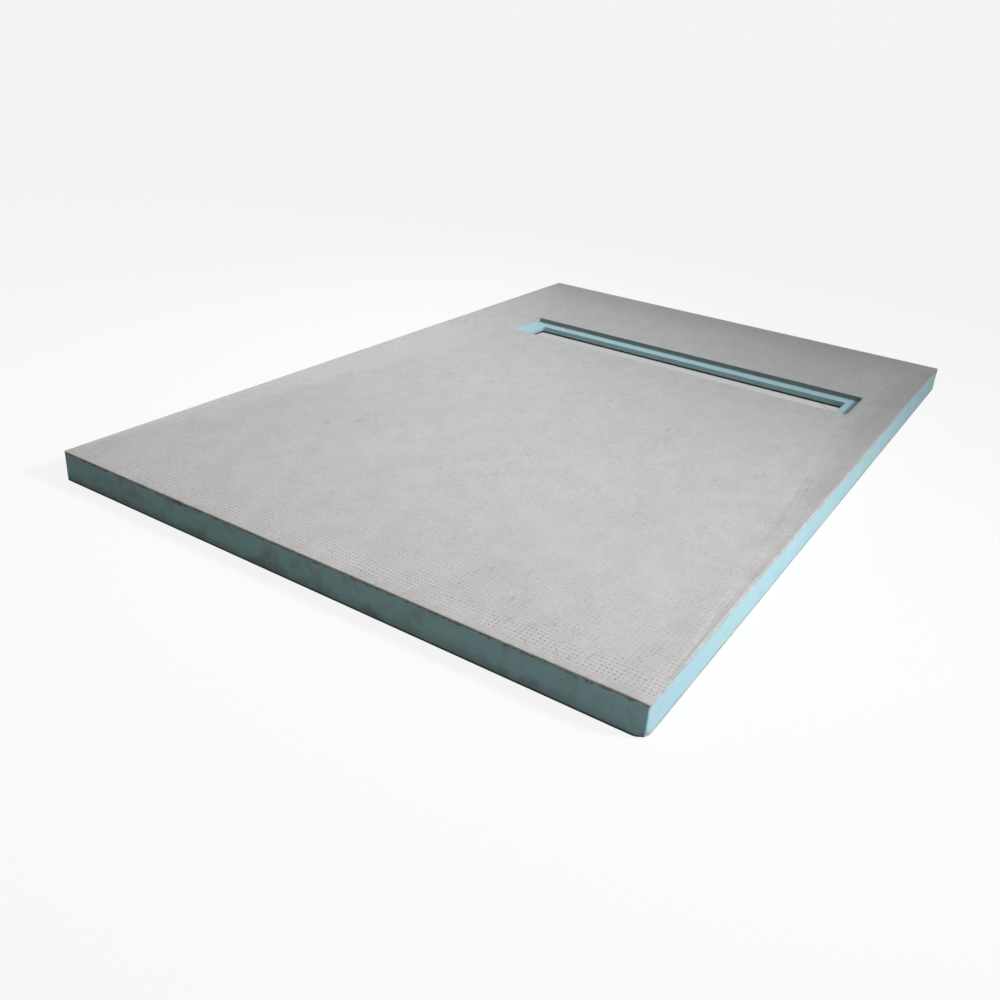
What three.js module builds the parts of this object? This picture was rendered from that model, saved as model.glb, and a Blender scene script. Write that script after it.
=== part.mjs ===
// Foam shower pan for a tiled floor, lying flat.
// A slab of foam is cut to a shallow four-way fall, with a recess and an open slot
// for a long drain near the back edge. A thin cement coat covers its top and its underside.
// Units are millimetres. The origin is the centre of the underside, +Y points to the back
// edge, next to the drain, and +Z points up.

import * as THREE from 'three';

// Driving dimensions
const PAN_LENGTH = 1200; // front edge to back edge
const PAN_WIDTH = 800; // left edge to right edge, along the drain
const EDGE_HEIGHT = 40; // underside to top face, all round the outer edge
const DRAIN_HEIGHT = 20; // underside to top face, at the rim of the drain recess
const TOP_COAT = 2; // cement on the falls
const BOTTOM_COAT = 2; // cement on the underside
const BACK_MARGIN = 204; // back edge of the pan to the recess
const SIDE_MARGIN = 77.5; // side edge of the pan to the recess
const RECESS_DEPTH = 8; // rim down to the ledge that carries the drain's flange
const LEDGE_WIDTH = 22.5; // flange seat, all round the slot
const SLOT_WIDTH = 57; // opening for the drain body, through the whole pan
const RECESS_CORNER_RADIUS = 6; // left by the cutter
const SLOT_CORNER_RADIUS = 6;
const CORNER_STEPS = 4; // straight pieces in each rounded corner

// Sizes that follow from them
const RECESS_LENGTH = PAN_WIDTH - 2 * SIDE_MARGIN;
const RECESS_WIDTH = SLOT_WIDTH + 2 * LEDGE_WIDTH;
const SLOT_LENGTH = RECESS_LENGTH - 2 * LEDGE_WIDTH;
const DRAIN_Y = PAN_LENGTH / 2 - BACK_MARGIN - RECESS_WIDTH / 2;
const LEDGE_HEIGHT = DRAIN_HEIGHT - RECESS_DEPTH;

const foamMaterial = new THREE.MeshStandardMaterial({ color: 0x9cc8d0, roughness: 0.85, metalness: 0 });
const topCoatMaterial = new THREE.MeshStandardMaterial({ color: 0xbcbab6, roughness: 0.95, metalness: 0 });
const bottomCoatMaterial = new THREE.MeshStandardMaterial({ color: 0x77767a, roughness: 0.95, metalness: 0 });

// Corners of a rectangle, anticlockwise from its front left one.
function rectangleCorners(lengthX, widthY, centreY) {
  const x = lengthX / 2;
  const y = widthY / 2;
  return [
    new THREE.Vector2(-x, centreY - y),
    new THREE.Vector2(x, centreY - y),
    new THREE.Vector2(x, centreY + y),
    new THREE.Vector2(-x, centreY + y),
  ];
}

// The four rounded corners of a rectangle, each a list of points along its arc.
function cornerArcs(lengthX, widthY, centreY, radius) {
  const centres = rectangleCorners(lengthX - 2 * radius, widthY - 2 * radius, centreY);
  return centres.map((centre, corner) => {
    const arc = [];
    for (let step = 0; step <= CORNER_STEPS; step += 1) {
      const angle = Math.PI + (corner + step / CORNER_STEPS) * (Math.PI / 2);
      const x = centre.x + radius * Math.cos(angle);
      const y = centre.y + radius * Math.sin(angle);
      arc.push(new THREE.Vector2(x, y));
    }
    return arc;
  });
}

const panCorners = rectangleCorners(PAN_WIDTH, PAN_LENGTH, 0);
const rimCorners = rectangleCorners(RECESS_LENGTH, RECESS_WIDTH, DRAIN_Y);
const recessArcs = cornerArcs(RECESS_LENGTH, RECESS_WIDTH, DRAIN_Y, RECESS_CORNER_RADIUS);
const recessOutline = recessArcs.flat();
const slotOutline = cornerArcs(SLOT_LENGTH, SLOT_WIDTH, DRAIN_Y, SLOT_CORNER_RADIUS).flat();

// Height of a corner of the falls: high on the outer edge, low round the drain.
function fallHeight(point) {
  return panCorners.includes(point) ? EDGE_HEIGHT : DRAIN_HEIGHT;
}

// Triangles of the falls, facing up and lowered by a depth. One flat face runs down from
// each outer edge, they meet along lines from corner to corner, and a small level piece
// fills each corner between the falls and the rounded recess.
function fallTriangles(depth) {
  const faces = [];
  for (let side = 0; side < 4; side += 1) {
    const next = (side + 1) % 4;
    const nearArc = recessArcs[side];
    const farArc = recessArcs[next];
    faces.push([
      panCorners[side],
      panCorners[next],
      rimCorners[next],
      farArc[0],
      nearArc[CORNER_STEPS],
      rimCorners[side],
    ]);
    faces.push([rimCorners[side], ...[...nearArc].reverse()]);
  }
  return faces.flatMap((face) => faceTriangles(face, [], (point) => fallHeight(point) - depth));
}

// Triangles of a face seen from above, facing up, with the height of each point.
function faceTriangles(outline, holes, heightAt) {
  const points = [outline, ...holes].flat();
  const triangles = THREE.ShapeUtils.triangulateShape(outline, holes);
  return triangles.map((triangle) => {
    const corners = triangle.map((index) => {
      const point = points[index];
      return new THREE.Vector3(point.x, point.y, heightAt(point));
    });
    return facesUp(corners) ? corners : corners.reverse();
  });
}

function facesUp([a, b, c]) {
  return (b.x - a.x) * (c.y - a.y) - (c.x - a.x) * (b.y - a.y) > 0;
}

function flatTriangles(outline, holes, height) {
  return faceTriangles(outline, holes, () => height);
}

// Triangles of an upright wall under an anticlockwise outline, facing out of it.
function wallTriangles(outline, low, high) {
  return outline.flatMap((start, index) => {
    const end = outline[(index + 1) % outline.length];
    const a = new THREE.Vector3(start.x, start.y, low);
    const b = new THREE.Vector3(end.x, end.y, low);
    const c = new THREE.Vector3(end.x, end.y, high);
    const d = new THREE.Vector3(start.x, start.y, high);
    return [[a, b, c], [a, c, d]];
  });
}

function turnedOver(triangles) {
  return triangles.map(([a, b, c]) => [a, c, b]);
}

function geometryFromTriangles(triangles) {
  const geometry = new THREE.BufferGeometry().setFromPoints(triangles.flat());
  geometry.computeVertexNormals();
  return geometry;
}

function makeFoamCore() {
  const triangles = [
    ...fallTriangles(TOP_COAT),
    ...wallTriangles(panCorners, BOTTOM_COAT, EDGE_HEIGHT - TOP_COAT),
    ...turnedOver(wallTriangles(recessOutline, LEDGE_HEIGHT, DRAIN_HEIGHT - TOP_COAT)),
    ...flatTriangles(recessOutline, [slotOutline], LEDGE_HEIGHT),
    ...turnedOver(wallTriangles(slotOutline, BOTTOM_COAT, LEDGE_HEIGHT)),
    ...turnedOver(flatTriangles(panCorners, [slotOutline], BOTTOM_COAT)),
  ];
  return new THREE.Mesh(geometryFromTriangles(triangles), foamMaterial);
}

function makeTopCoat() {
  const triangles = [
    ...fallTriangles(0),
    ...turnedOver(fallTriangles(TOP_COAT)),
    ...wallTriangles(panCorners, EDGE_HEIGHT - TOP_COAT, EDGE_HEIGHT),
    ...turnedOver(wallTriangles(recessOutline, DRAIN_HEIGHT - TOP_COAT, DRAIN_HEIGHT)),
  ];
  return new THREE.Mesh(geometryFromTriangles(triangles), topCoatMaterial);
}

function makeBottomCoat() {
  const shape = new THREE.Shape(panCorners);
  shape.holes.push(new THREE.Path(slotOutline));
  const geometry = new THREE.ExtrudeGeometry(shape, { depth: BOTTOM_COAT, bevelEnabled: false });
  return new THREE.Mesh(geometry, bottomCoatMaterial);
}

const foamCore = makeFoamCore();
foamCore.name = 'foam_core';

const topCoat = makeTopCoat();
topCoat.name = 'top_coat';

const bottomCoat = makeBottomCoat();
bottomCoat.name = 'bottom_coat';

const showerPan = new THREE.Group();
showerPan.add(foamCore, topCoat, bottomCoat);

export default showerPan;
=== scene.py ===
# %% [markdown]
# A foam shower pan lies flat on a pale studio floor. It is a slab of pale blue-green foam with a
# thin coat of grey cement on both faces, and a slot for a long drain near its back edge.
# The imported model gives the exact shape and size. Here each of its three layers gets a detailed
# surface of the same size, and then its finish.

import bpy
import numpy as np
from mathutils import Matrix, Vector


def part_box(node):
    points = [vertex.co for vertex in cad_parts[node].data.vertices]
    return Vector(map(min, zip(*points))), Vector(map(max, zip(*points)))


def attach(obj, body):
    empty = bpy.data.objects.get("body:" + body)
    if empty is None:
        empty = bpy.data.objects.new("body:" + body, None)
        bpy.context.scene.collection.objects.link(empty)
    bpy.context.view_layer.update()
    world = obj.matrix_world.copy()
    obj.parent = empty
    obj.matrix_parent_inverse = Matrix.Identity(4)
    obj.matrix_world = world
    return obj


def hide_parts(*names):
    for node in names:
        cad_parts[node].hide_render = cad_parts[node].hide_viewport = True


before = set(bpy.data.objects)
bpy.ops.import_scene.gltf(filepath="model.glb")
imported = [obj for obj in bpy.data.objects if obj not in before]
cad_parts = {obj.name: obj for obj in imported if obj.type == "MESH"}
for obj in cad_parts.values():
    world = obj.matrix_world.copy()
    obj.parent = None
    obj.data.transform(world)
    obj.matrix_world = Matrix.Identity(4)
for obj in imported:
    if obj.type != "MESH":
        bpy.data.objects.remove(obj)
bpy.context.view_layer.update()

# %% [markdown]
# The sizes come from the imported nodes, in metres. The foam's box gives the slab, and the box of
# the top coat gives the height of the edge and of the rim round the recess. The recess and the
# slot can't be read from boxes, so their sizes repeat the ones that the model was built from.

# %% Sizes
foam_low, foam_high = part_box("foam_core")
coat_low, coat_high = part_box("top_coat")

HALF_X = foam_high.x
HALF_Y = foam_high.y
EDGE_TOP = coat_high.z
FOAM_TOP = foam_high.z
FOAM_BOTTOM = foam_low.z
COAT = EDGE_TOP - FOAM_TOP
RIM_TOP = coat_low.z + COAT
MM = 0.001
SIDE_MARGIN = 77.5 * MM
BACK_MARGIN = 204 * MM
SLOT_WIDTH = 57 * MM
LEDGE_WIDTH = 22.5 * MM
RECESS_DEPTH = 8 * MM
CUTTER_RADIUS = 6 * MM
RECESS_HALF_X = HALF_X - SIDE_MARGIN
RECESS_HALF_Y = SLOT_WIDTH / 2 + LEDGE_WIDTH
SLOT_HALF_X = RECESS_HALF_X - LEDGE_WIDTH
SLOT_HALF_Y = SLOT_WIDTH / 2
DRAIN_Y = HALF_Y - BACK_MARGIN - RECESS_HALF_Y
LEDGE_TOP = RIM_TOP - RECESS_DEPTH
print(f"edge {EDGE_TOP / MM:.1f} mm, rim {RIM_TOP / MM:.1f} mm, ledge {LEDGE_TOP / MM:.1f} mm high")

# %% [markdown]
# The photograph was taken from in front and to the right, a little above the pan. Its camera was
# found by fitting a pinhole camera to the pan's corners, so the render lines up with the photo.
# The numbers are a place, two angles and a small roll, as a photographer would note them.
# The shift moves the frame a little on the film, because the photo was cropped off centre.

# %% Camera
CAMERA_PLACE = (0.6395, -1.2519, 0.5692)
CAMERA_AZIMUTH = 30.236
CAMERA_ELEVATION = 25.083
CAMERA_ROLL = 4.682
LENS_MM = 35.42
FILM_MM = 36.0
FRAME_PIXELS = 1000
CENTRE_PIXEL = (527.5, 473.5)


def camera_axes(azimuth, elevation, roll):
    """Right, up and backward unit vectors of a camera that looks along its azimuth, counted from
    +Y towards -X, and down by its elevation, then rolls about its own view."""
    a, e, r = np.radians([azimuth, elevation, roll])
    ahead = np.array([-np.sin(a) * np.cos(e), np.cos(a) * np.cos(e), -np.sin(e)])
    level = np.array([np.cos(a), np.sin(a), 0.0])
    above = np.cross(level, ahead)
    right = np.cos(r) * level + np.sin(r) * above
    up = np.cos(r) * above - np.sin(r) * level
    return right, up, -ahead


camera_data = bpy.data.cameras.new("photo_camera")
camera = bpy.data.objects.new("photo_camera", camera_data)
bpy.context.scene.collection.objects.link(camera)
turn = np.eye(4)
turn[:3, :3] = np.column_stack(camera_axes(CAMERA_AZIMUTH, CAMERA_ELEVATION, CAMERA_ROLL))
turn[:3, 3] = CAMERA_PLACE
camera.matrix_world = Matrix(turn.tolist())
camera_data.lens = LENS_MM
camera_data.sensor_width = FILM_MM
camera_data.shift_x = (FRAME_PIXELS / 2 - CENTRE_PIXEL[0]) / FRAME_PIXELS
camera_data.shift_y = (CENTRE_PIXEL[1] - FRAME_PIXELS / 2) / FRAME_PIXELS
camera_data.clip_end = 200
bpy.context.scene.camera = camera
print("camera at", CAMERA_PLACE, "lens", LENS_MM, "mm")

# %% [markdown]
# Every layer of the pan is a ring: it runs round the slot, and its cross-section closes on itself.
# So each one can be a single grid of points. One direction walks round the pan, and the other
# walks along the cross-section, over the top, down into the drain and back underneath.
# Each step of the cross-section is a rounded rectangle, and all of them have the same number of
# points on each side and in each corner, so the lines between them run straight from a corner
# of the pan to a corner of the recess. That makes the four flat falls by itself.

# %% Rounded rectangle
POINTS_X = 400
POINTS_Y = 500
POINTS_CORNER = 8


def rounded_rectangle(half_x, half_y, centre_y, radius):
    """x and y of points round a rounded rectangle, anticlockwise from its front left corner. Each
    corner is a quarter circle about a centre one radius inside, and each side is evenly divided
    between the ends of two of them."""
    quarter = np.linspace(0, np.pi / 2, POINTS_CORNER)
    centres = np.array([(-1, -1), (1, -1), (1, 1), (-1, 1)]) * (half_x - radius, half_y - radius)
    xs, ys = [], []
    for corner in range(4):
        angle = np.pi + corner * np.pi / 2 + quarter
        arc_x = centres[corner, 0] + radius * np.cos(angle)
        arc_y = centres[corner, 1] + radius * np.sin(angle)
        following = (corner + 1) % 4
        next_angle = np.pi + following * np.pi / 2 if following else np.pi
        end_x = centres[following, 0] + radius * np.cos(next_angle)
        end_y = centres[following, 1] + radius * np.sin(next_angle)
        along = np.linspace(0, 1, (POINTS_X if corner % 2 == 0 else POINTS_Y) + 2)[1:-1]
        xs += [arc_x, arc_x[-1] + (end_x - arc_x[-1]) * along]
        ys += [arc_y, arc_y[-1] + (end_y - arc_y[-1]) * along]
    return np.concatenate(xs), np.concatenate(ys) + centre_y


def outward(x, y):
    """Unit vectors across a closed outline, pointing out of it: each one is the step from the
    point before to the point after, turned clockwise by a quarter."""
    step_x = np.roll(x, -1) - np.roll(x, 1)
    step_y = np.roll(y, -1) - np.roll(y, 1)
    length = np.hypot(step_x, step_y)
    return step_y / length, -step_x / length


EDGE_RADIUS = 1.6 * MM
edge_x, edge_y = rounded_rectangle(HALF_X, HALF_Y, 0, EDGE_RADIUS)
recess_x, recess_y = rounded_rectangle(RECESS_HALF_X, RECESS_HALF_Y, DRAIN_Y, CUTTER_RADIUS)
slot_x, slot_y = rounded_rectangle(SLOT_HALF_X, SLOT_HALF_Y, DRAIN_Y, CUTTER_RADIUS)
edge_out = outward(edge_x, edge_y)
recess_out = outward(recess_x, recess_y)
slot_out = outward(slot_x, slot_y)
ROUND = len(edge_x)
print("points round the pan:", ROUND)

# %% [markdown]
# Nothing on a cut edge is quite straight. The cement breaks off unevenly, and the wire that cuts
# the foam wanders by a few tenths of a millimetre. Sums of sine waves with fixed random phases
# give a line that wanders and closes on itself, and a few narrow bumps at random places
# give the nicks and drips.

# %% Wandering lines
dice = np.random.default_rng(20)
arc = np.concatenate([[0], np.cumsum(np.hypot(np.diff(edge_x), np.diff(edge_y)))])
PERIMETER = arc[-1] + np.hypot(edge_x[0] - edge_x[-1], edge_y[0] - edge_y[-1])


def wander(longest, shortest, waves=14):
    """A smooth random line round the pan between about -1 and 1: a sum of sines that each go a
    whole number of times round, with wavelengths from longest to shortest."""
    turns = np.unique(np.round(np.geomspace(PERIMETER / longest, PERIMETER / shortest, waves)))
    phases = dice.uniform(0, 2 * np.pi, len(turns))
    sizes = dice.uniform(0.4, 1, len(turns)) / np.sqrt(np.arange(1, len(turns) + 1))
    line = np.sin(2 * np.pi * np.outer(arc / PERIMETER, turns) + phases) @ sizes
    return line / np.abs(line).max()


def nicks(count, width_low, width_high):
    """Narrow bumps of height 0.3 to 1 at random places round the pan, each a bell curve."""
    places = dice.uniform(0, PERIMETER, count)
    widths = dice.uniform(width_low, width_high, count)
    heights = dice.uniform(0.3, 1, count)
    away = (arc[:, None] - places + PERIMETER / 2) % PERIMETER - PERIMETER / 2
    return (heights * np.exp(-((away / widths) ** 2))).max(axis=1)


def near(point, reach):
    """A bell round one place on the outline, 1 at the point and about 0.02 at twice its reach."""
    squared = (edge_x - point[0]) ** 2 + (edge_y - point[1]) ** 2
    return np.exp(-squared / reach**2)


print(f"perimeter {PERIMETER:.3f} m")

# %% [markdown]
# A layer is written down as a list of rings, each with x, y and z for every point round the pan.
# The grid closes in both directions, so the mesh has no open edge. Only its winding matters:
# the rings go up the outside, in over the top and down the inside, and the faces then look out.

# %% Closed grid of rings


def ring(outline, across, out, height):
    """One ring: the outline's points moved out along across by out, at a height. Both out and
    height may be a number or one value for each point."""
    x = outline[0] + across[0] * out
    y = outline[1] + across[1] * out
    return np.stack([x, y, np.broadcast_to(height, x.shape)], axis=1)


def between(first, second, share):
    """The ring that lies a share of the way from the first ring to the second."""
    return first + (second - first) * share


def closed_grid_object(name, rings):
    """A mesh from a stack of rings: point u of ring v is joined to its neighbours u+1 and v+1,
    and both directions wrap round."""
    points = np.stack(rings)
    count_v, count_u = points.shape[:2]
    index = np.arange(count_v * count_u).reshape(count_v, count_u)
    right = np.roll(index, -1, axis=1)
    above = np.roll(index, -1, axis=0)
    corner = np.roll(above, -1, axis=1)
    quads = np.stack([index, right, corner, above], axis=-1).reshape(-1, 4)
    mesh = bpy.data.meshes.new(name)
    mesh.vertices.add(points.size // 3)
    mesh.vertices.foreach_set("co", points.astype(np.float32).ravel())
    mesh.loops.add(quads.size)
    mesh.loops.foreach_set("vertex_index", quads.astype(np.int32).ravel())
    mesh.polygons.add(len(quads))
    mesh.polygons.foreach_set("loop_start", np.arange(0, quads.size, 4, dtype=np.int32))
    mesh.polygons.foreach_set("use_smooth", np.ones(len(quads), dtype=bool))
    mesh.update(calc_edges=True)
    mesh.validate()
    piece = bpy.data.objects.new(name, mesh)
    bpy.context.scene.collection.objects.link(piece)
    print(name, "has", len(quads), "faces")
    return piece


# %% [markdown]
# The top coat is a skin of cement over glass mesh, about 2 mm thick. It is trowelled, so it is
# flat within a few tenths of a millimetre, and its outer edge is where the pan was sawn. There the
# cement hangs a little over the foam in places. At the back right corner a lap of cement has
# run down over the foam. The surface swells and dips slightly. The valleys between the falls are
# filled to a soft curve, as a trowel leaves them, so no line shows there.

# %% Top coat shape
BACK_RIGHT = (HALF_X, HALF_Y)
FRONT_RIGHT = (HALF_X, -HALF_Y)
lip_out = 0.15 * MM * wander(0.3, 0.012) + 0.45 * MM * nicks(160, 0.0015, 0.006)
lip_drop = 0.5 * MM * wander(0.25, 0.008, 22) + 1.9 * MM * nicks(190, 0.0015, 0.008)
corner_lap = 6.5 * MM * near(BACK_RIGHT, 0.024) * (edge_out[0] > 0.3)
top_swell = 0.25 * MM * wander(0.9, 0.12, 8)
rim_wear = 0.5 * MM * nicks(90, 0.002, 0.007)


def coat_top(out, height):
    """A ring along the outer edge of the pan."""
    return ring((edge_x, edge_y), edge_out, out, height)


def coat_rim(out, height):
    """A ring along the rim of the recess."""
    return ring((recess_x, recess_y), recess_out, out, height)


def soft_falls(x, y, softness):
    """The height of the trowelled face: the highest of the four planes that fall from the pan's
    edges to the drain, with the valley between two of them filled to a soft curve. The formula
    is s * ln(sum of exp(z / s)) over the four heights z, where s is the softness. Nothing rises
    above the edge, so the fill ends in a narrow level strip beside it."""
    drop = EDGE_TOP - RIM_TOP
    falls = [
        (y + HALF_Y) / (DRAIN_Y - RECESS_HALF_Y + HALF_Y),
        (HALF_Y - y) / (HALF_Y - DRAIN_Y - RECESS_HALF_Y),
        (HALF_X - x) / SIDE_MARGIN,
        (HALF_X + x) / SIDE_MARGIN,
    ]
    heights = np.stack([EDGE_TOP - drop * np.clip(fall, -1, 3) for fall in falls])
    top = heights.max(axis=0)
    fill = softness * np.log(np.exp((heights - top) / softness).sum(axis=0))
    return np.minimum(top + fill, EDGE_TOP)


VALLEY_SOFTNESS = 2.6 * MM
FALL_SHARES = np.concatenate([np.linspace(0.02, 0.1, 5), np.linspace(0.14, 0.9, 20), [0.95, 0.98]])
edge_ring = coat_top(-1.2 * MM, EDGE_TOP)
rim_ring = coat_rim(1.2 * MM, RIM_TOP)
rim_top = soft_falls(rim_ring[:, 0], rim_ring[:, 1], 0.5 * VALLEY_SOFTNESS)
rim_top = RIM_TOP + np.clip(rim_top - RIM_TOP - 0.3 * MM, 0, None)
coat_rings = [
    coat_top(lip_out - 0.1 * MM, FOAM_TOP - np.clip(lip_drop, 0, None) - corner_lap),
    coat_top(lip_out + 0.1 * MM, FOAM_TOP - np.clip(lip_drop, 0, None) * 0.5 - corner_lap * 0.8),
    coat_top(lip_out + 0.1 * MM, FOAM_TOP + COAT * 0.4),
    coat_top(0.6 * lip_out, EDGE_TOP - 0.5 * MM),
    coat_top(-0.25 * MM, EDGE_TOP - 0.12 * MM),
    coat_top(-0.6 * MM, EDGE_TOP - 0.03 * MM),
]
for share in FALL_SHARES:
    fall = between(edge_ring, rim_ring, share)
    softness = VALLEY_SOFTNESS * np.clip(4 * share, 0, 1) * (1 - 0.5 * share)
    fall[:, 2] = soft_falls(fall[:, 0], fall[:, 1], softness)
    fall[:, 2] += top_swell * np.sin(np.pi * share) * np.cos(5 * share + 3 * fall[:, 0])
    coat_rings.append(fall)
coat_rings += [
    coat_rim(0.5 * MM, rim_top - 0.06 * MM),
    coat_rim(0.15 * MM, rim_top - 0.3 * MM - 0.4 * rim_wear),
    coat_rim(0.0, RIM_TOP - 0.8 * MM - rim_wear),
    coat_rim(0.0, RIM_TOP - COAT),
    coat_rim(0.6 * MM, RIM_TOP - COAT),
    coat_top(-1.0 * MM, FOAM_TOP),
]
cement_top = closed_grid_object("cement_top", coat_rings)

# %% [markdown]
# The foam is one board of closed-cell foam, cut with a hot wire and routed for the drain.
# Its sides are flat with a faint ripple, and its upright corners are rubbed round.
# The lower front right corner has been knocked: the foam is pushed in by a few millimetres,
# so the points near that corner move inwards and up with a bell curve of their distance.

# %% Foam shape
KNOCK_REACH = 0.007
KNOCK_DEPTH = 3.4 * MM
wire_ripple = 0.12 * MM * wander(0.2, 0.02)
wall_shares = np.linspace(0, 1, 20)
corner_chips = 1.1 * MM * np.abs(dice.normal(0, 0.6, len(wall_shares)))
ledge_dust = 0.1 * MM * wander(0.2, 0.02)


def knocked(points):
    """Points near the lower front right corner, pushed in towards the middle and up. The push is
    a bell curve of the distance from the corner."""
    from_corner = points - np.array([FRONT_RIGHT[0], FRONT_RIGHT[1], 0])
    push = KNOCK_DEPTH * np.exp(-(from_corner**2).sum(axis=1) / KNOCK_REACH**2)
    return points + push[:, None] * np.array([-0.6, 0.6, 0.55])


foam_rings = []
for share, chip in zip(wall_shares, corner_chips):
    side = wire_ripple * np.sin(3 * share + 1) - chip * near(FRONT_RIGHT, 0.0022)
    foam_rings.append(knocked(coat_top(side, FOAM_BOTTOM + share * (FOAM_TOP - FOAM_BOTTOM))))
foam_rings.append(coat_top(-3 * MM, FOAM_TOP - 0.1 * MM))
foam_rings += [
    coat_rim(2 * MM, RIM_TOP - COAT - 0.1 * MM),
    coat_rim(0.0, RIM_TOP - COAT - 0.1 * MM),
    coat_rim(0.1 * wire_ripple, LEDGE_TOP + 3 * MM),
    coat_rim(0.0, LEDGE_TOP + 0.6 * MM),
    coat_rim(-0.2 * MM, LEDGE_TOP + 0.15 * MM),
    coat_rim(-0.7 * MM, LEDGE_TOP),
]
ledge_outer = coat_rim(-1.5 * MM, LEDGE_TOP)
ledge_inner = ring((slot_x, slot_y), slot_out, 1.0 * MM, LEDGE_TOP)
for share in (0.0, 0.25, 0.5, 0.75, 1.0):
    level = between(ledge_outer, ledge_inner, share)
    level[:, 2] += ledge_dust * np.sin(np.pi * share)
    foam_rings.append(level)
foam_rings += [
    ring((slot_x, slot_y), slot_out, 0.35 * MM, LEDGE_TOP - 0.12 * MM),
    ring((slot_x, slot_y), slot_out, 0.05 * MM, LEDGE_TOP - 0.5 * MM),
]
for share in (0.15, 0.4, 0.7, 1.0):
    depth = LEDGE_TOP - share * (LEDGE_TOP - FOAM_BOTTOM)
    foam_rings.append(ring((slot_x, slot_y), slot_out, wire_ripple * np.sin(4 * share), depth))
foam_rings.append(ring((slot_x, slot_y), slot_out, 3 * MM, FOAM_BOTTOM))
foam_rings.append(coat_top(-3 * MM, FOAM_BOTTOM))
foam_board = closed_grid_object("foam_board", foam_rings)

# %% [markdown]
# The bottom coat is the same cement and mesh under the slab. In the photograph only its dark
# edge shows, under the front side and at the foot of the slot.

# %% Bottom coat shape
base_out = 0.15 * MM * wander(0.3, 0.02) + 0.3 * MM * nicks(50, 0.002, 0.01)
base_rise = 0.3 * MM * wander(0.25, 0.02) + 0.8 * MM * nicks(50, 0.003, 0.012)
slot_lip = FOAM_BOTTOM + 1.3 * MM + 0.3 * base_rise
base_inner = ring((slot_x, slot_y), slot_out, 0.8 * MM, 0)
base_rings = [
    coat_top(-1.2 * MM, 0),
    coat_top(-0.4 * MM, 0.1 * MM),
    coat_top(0.5 * base_out, 0.5 * MM),
    coat_top(base_out, FOAM_BOTTOM * 0.7),
    coat_top(base_out, FOAM_BOTTOM + np.clip(base_rise, 0, None)),
    coat_top(-2 * MM, FOAM_BOTTOM),
    ring((slot_x, slot_y), slot_out, 2 * MM, FOAM_BOTTOM),
    ring((slot_x, slot_y), slot_out, -0.3 * MM - 0.5 * base_out, slot_lip),
    ring((slot_x, slot_y), slot_out, -0.3 * MM - 0.3 * base_out, 0.5 * MM),
    ring((slot_x, slot_y), slot_out, 0.1 * MM, 0.1 * MM),
    base_inner,
]
base_outer = coat_top(-1.2 * MM, 0)
base_rings += [between(base_inner, base_outer, share) for share in np.linspace(0.04, 0.96, 16)]
base_rings = [knocked(points) for points in base_rings]
cement_base = closed_grid_object("cement_base", base_rings)

# %% [markdown]
# Where the pan was cut, ends of the glass mesh stick out. One thread has come loose and lies
# across the right end of the slot, and a few short fibres stand up from the top edge. A thread is
# a thin tube along a curve: a circle is carried along the path and turned to stay square to it.

# %% Threads
THREAD_SIDES = 6


def tube(path, radius):
    """Points and faces of a tube with round ends closed to a point. The circle at each step lies
    in the two directions square to the path, and its radius tapers at both ends."""
    ahead = np.gradient(path, axis=0)
    ahead /= np.linalg.norm(ahead, axis=1)[:, None]
    sideways = np.cross(ahead, (0.0, 0.35, 0.94))
    sideways /= np.linalg.norm(sideways, axis=1)[:, None]
    upward = np.cross(sideways, ahead)
    angle = np.linspace(0, 2 * np.pi, THREAD_SIDES, endpoint=False)
    taper = np.sqrt(np.clip(1 - np.abs(np.linspace(-1, 1, len(path))) ** 9, 0, 1)) + 0.02
    circle = sideways[:, None] * np.cos(angle)[:, None] + upward[:, None] * np.sin(angle)[:, None]
    points = (path[:, None] + circle * (radius * taper)[:, None, None]).reshape(-1, 3)
    index = np.arange(len(path) * THREAD_SIDES).reshape(len(path), THREAD_SIDES)
    turned = np.roll(index, -1, axis=1)
    quads = np.stack([index[:-1], turned[:-1], turned[1:], index[1:]], axis=-1).reshape(-1, 4)
    caps = [index[0][::-1].tolist(), index[-1].tolist()]
    return points, quads.tolist() + caps


def bent_path(start, end, sag, steps):
    """A curve from start to end: a straight line plus a half sine wave times the sag vector."""
    share = np.linspace(0, 1, steps)[:, None]
    straight = np.array(start) * (1 - share) + np.array(end) * share
    return straight + np.sin(np.pi * share) * np.array(sag)


def thread_object(name, paths, radii):
    """One mesh that holds a tube for each path."""
    points, faces, start = [], [], 0
    for path, radius in zip(paths, radii):
        tube_points, tube_faces = tube(path, radius)
        points.append(tube_points)
        faces += [[corner + start for corner in face] for face in tube_faces]
        start += len(tube_points)
    mesh = bpy.data.meshes.new(name)
    mesh.from_pydata(np.concatenate(points).tolist(), [], faces)
    mesh.polygons.foreach_set("use_smooth", np.ones(len(faces), dtype=bool))
    mesh.update()
    piece = bpy.data.objects.new(name, mesh)
    bpy.context.scene.collection.objects.link(piece)
    print(name, "has", len(paths), "threads and", len(faces), "faces")
    return piece


THREAD_START = (0.2560, 0.3745, 0.0018)
THREAD_END = (0.2975, 0.3155, 0.0105)
loose_path = bent_path(THREAD_START, THREAD_END, (-0.002, 0.002, -0.0008), 24)
loose_thread = thread_object("loose_thread", [loose_path], [0.28 * MM])

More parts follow.
